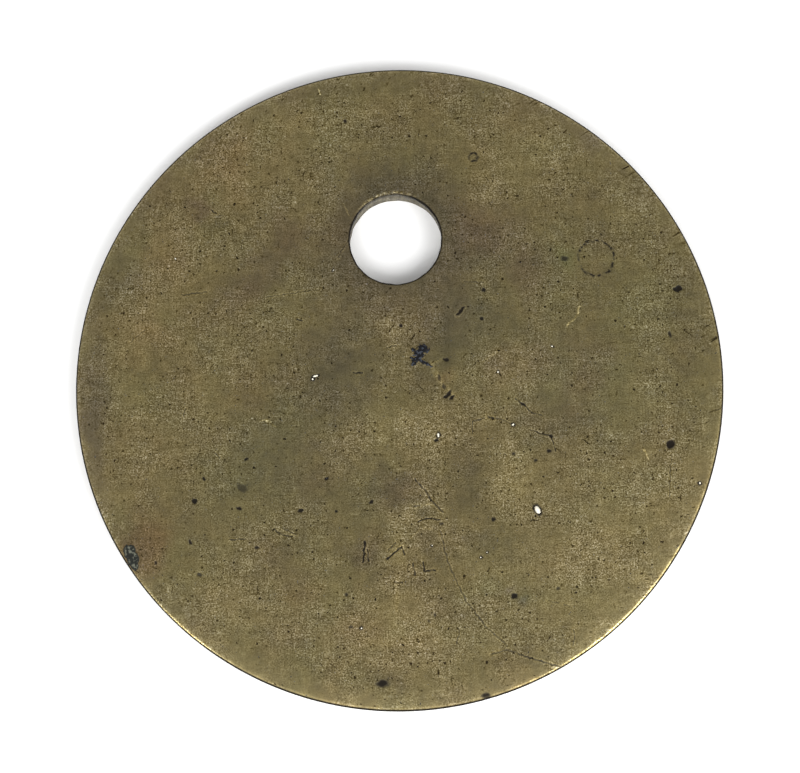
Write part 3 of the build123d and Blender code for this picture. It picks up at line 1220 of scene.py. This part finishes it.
class TOKEN_OT_stage(bpy.types.Operator):
    """Make the floor, the soft lights, the room and the camera"""

    bl_idname = "token.stage"
    bl_label = "Stage"

    def execute(self, context):
        settings = context.scene.token_stage
        deselect_all()
        bpy.ops.mesh.primitive_plane_add(size=settings.floor_size, location=(0, 0, -0.01 * MM))
        floor = context.object
        floor.name = "floor"
        bpy.ops.object.transform_apply(location=True, rotation=False, scale=False)
        floor.data.materials.append(plain_floor())

        soft_light("right_softbox", azimuth=-40, elevation=50, size=0.26, power=settings.right_light)
        soft_light("front_softbox", azimuth=-108, elevation=56, size=0.20, power=settings.front_light)
        soft_light("left_strip", azimuth=-134, elevation=34, size=0.06, power=settings.left_light)
        room_light(context.scene, settings.sky)
        add_camera(context.scene, settings)
        context.scene.view_settings.view_transform = "Standard"
        return {"FINISHED"}


def soft_light(name, azimuth, elevation, size, power):
    """A square softbox that looks at the token, its azimuth measured from +X."""
    azimuth, elevation = radians(azimuth), radians(elevation)
    towards = Vector((cos(azimuth) * cos(elevation), sin(azimuth) * cos(elevation), sin(elevation)))
    place = towards * LIGHT_REACH
    bpy.ops.object.light_add(type="AREA", location=place, rotation=place.to_track_quat("Z", "Y").to_euler())
    light = bpy.context.object
    light.name = name
    light.data.shape = "SQUARE"
    light.data.size = size
    light.data.energy = power


def room_light(scene, brightness):
    """A room that is brightest overhead and dim at eye level, with a pale backdrop for the camera alone."""
    world = bpy.data.worlds.new("room")
    scene.world = world
    world.use_nodes = True
    world.node_tree.nodes.clear()
    graph = Graph(world.node_tree)
    direction = graph.add("ShaderNodeTexCoord").outputs["Generated"]
    up = graph.add("ShaderNodeSeparateXYZ", {"Vector": direction}).outputs["Z"]
    ramp = graph.add("ShaderNodeValToRGB", {"Fac": up})
    ramp.color_ramp.elements.remove(ramp.color_ramp.elements[1])
    ramp.color_ramp.elements[0].position = 0.05
    ramp.color_ramp.elements[0].color = opaque((0.35,) * 3)
    for height, grey in ((0.4, 1.0), (0.8, 1.0), (0.95, 0.5)):
        ramp.color_ramp.elements.new(height).color = opaque((grey,) * 3)
    room = graph.add("ShaderNodeBackground", {"Color": ramp.outputs["Color"], "Strength": brightness})
    backdrop = graph.add("ShaderNodeBackground", {"Color": (0.93, 0.93, 0.93, 1.0), "Strength": 1.0})
    seen = graph.add("ShaderNodeLightPath").outputs["Is Camera Ray"]
    both = graph.add("ShaderNodeMixShader", {0: seen, 1: room.outputs[0], 2: backdrop.outputs[0]})
    graph.add("ShaderNodeOutputWorld", {"Surface": both.outputs[0]})


def add_camera(scene, settings):
    """The camera, nearly overhead and slightly on the side away from the hole."""
    place, aim = Vector(settings.camera_place), Vector(settings.camera_aim)
    ahead = (aim - place).normalized()
    right = ahead.cross(Vector((sin(settings.camera_roll), cos(settings.camera_roll), 0))).normalized()
    above = right.cross(ahead)
    bpy.ops.object.camera_add(location=place, rotation=Matrix((right, above, -ahead)).transposed().to_euler())
    camera = bpy.context.object
    camera.name = "camera"
    camera.data.lens = settings.lens
    camera.data.sensor_width = 36
    camera.data.clip_start = 0.001
    camera.data.clip_end = 10
    scene.camera = camera


class TOKEN_PT_panel(bpy.types.Panel):
    """Buttons and settings in the sidebar"""

    bl_label = "Worn Transit Token"
    bl_space_type = "VIEW_3D"
    bl_region_type = "UI"
    bl_category = "Token"

    def draw(self, context):
        for operator in OPERATORS:
            self.layout.operator(operator.bl_idname)
        for settings in (context.scene.token_sizes, context.scene.token_colours, context.scene.token_stage):
            box = self.layout.box()
            for name in settings.bl_rna.properties.keys():
                if name not in ("rna_type", "name"):
                    box.prop(settings, name)


OPERATORS = (TOKEN_OT_disc, TOKEN_OT_grit, TOKEN_OT_stage)
SETTINGS = {"token_sizes": TokenSizes, "token_colours": PatinaColours, "token_stage": StageSettings}


def register():
    for cls in (*SETTINGS.values(), *OPERATORS, TOKEN_PT_panel):
        bpy.utils.register_class(cls)
    for name, cls in SETTINGS.items():
        setattr(bpy.types.Scene, name, PointerProperty(type=cls))


def unregister():
    for name in SETTINGS:
        delattr(bpy.types.Scene, name)
    for cls in reversed((*SETTINGS.values(), *OPERATORS, TOKEN_PT_panel)):
        bpy.utils.unregister_class(cls)


def main():
    register()
    bpy.ops.token.disc()
    bpy.ops.token.grit()
    bpy.ops.token.stage()


if __name__ == "__main__":
    main()
